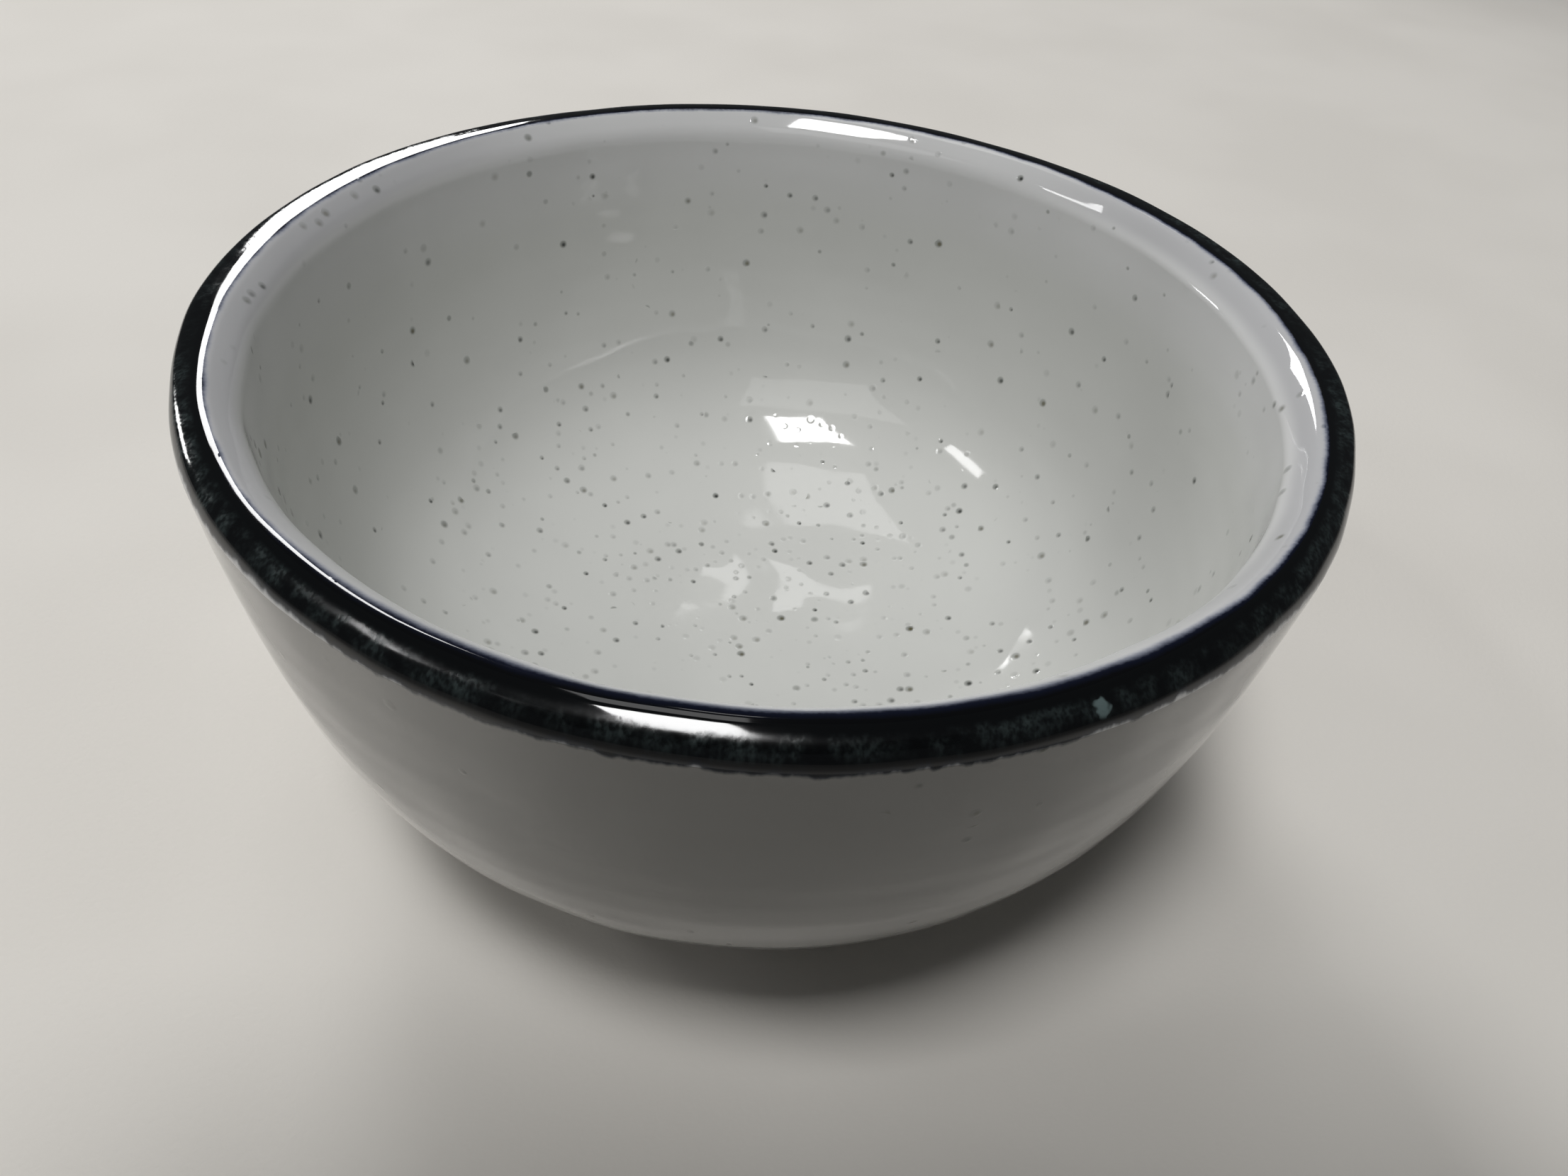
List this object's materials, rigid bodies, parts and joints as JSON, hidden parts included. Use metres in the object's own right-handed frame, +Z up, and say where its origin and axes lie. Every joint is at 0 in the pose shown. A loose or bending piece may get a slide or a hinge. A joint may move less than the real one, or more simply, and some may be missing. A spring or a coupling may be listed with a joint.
{
  "type": "shaving bowl",
  "caption": "Round deep stoneware shaving bowl with a speckled white glaze, a dark glazed lip and a bare foot ring, used to whip lather with a brush.",
  "frame": {"origin": "centre of the foot ring, on the plane that the bowl stands on", "axes": "+Z up along the bowl's axis of turning; the bowl is the same all round, so +X and +Y are any two directions across it"},
  "size_m": [0.12, 0.12, 0.06],
  "materials": {
    "stoneware": "bare fired clay, matt and slightly sandy",
    "white_glaze": "glossy off-white glaze with very few faint specks",
    "speckled_glaze": "glossy off-white glaze with small soft iron specks",
    "dark_glaze": "glossy blue-black glaze, breaking to teal grey on the outer shoulder"
  },
  "bodies": {
    "root": {"stoneware_body": "stoneware", "outer_glaze": "white_glaze", "rim_glaze": "dark_glaze", "inner_glaze": "speckled_glaze", "recess_glaze": "white_glaze"}
  },
  "joints": []
}
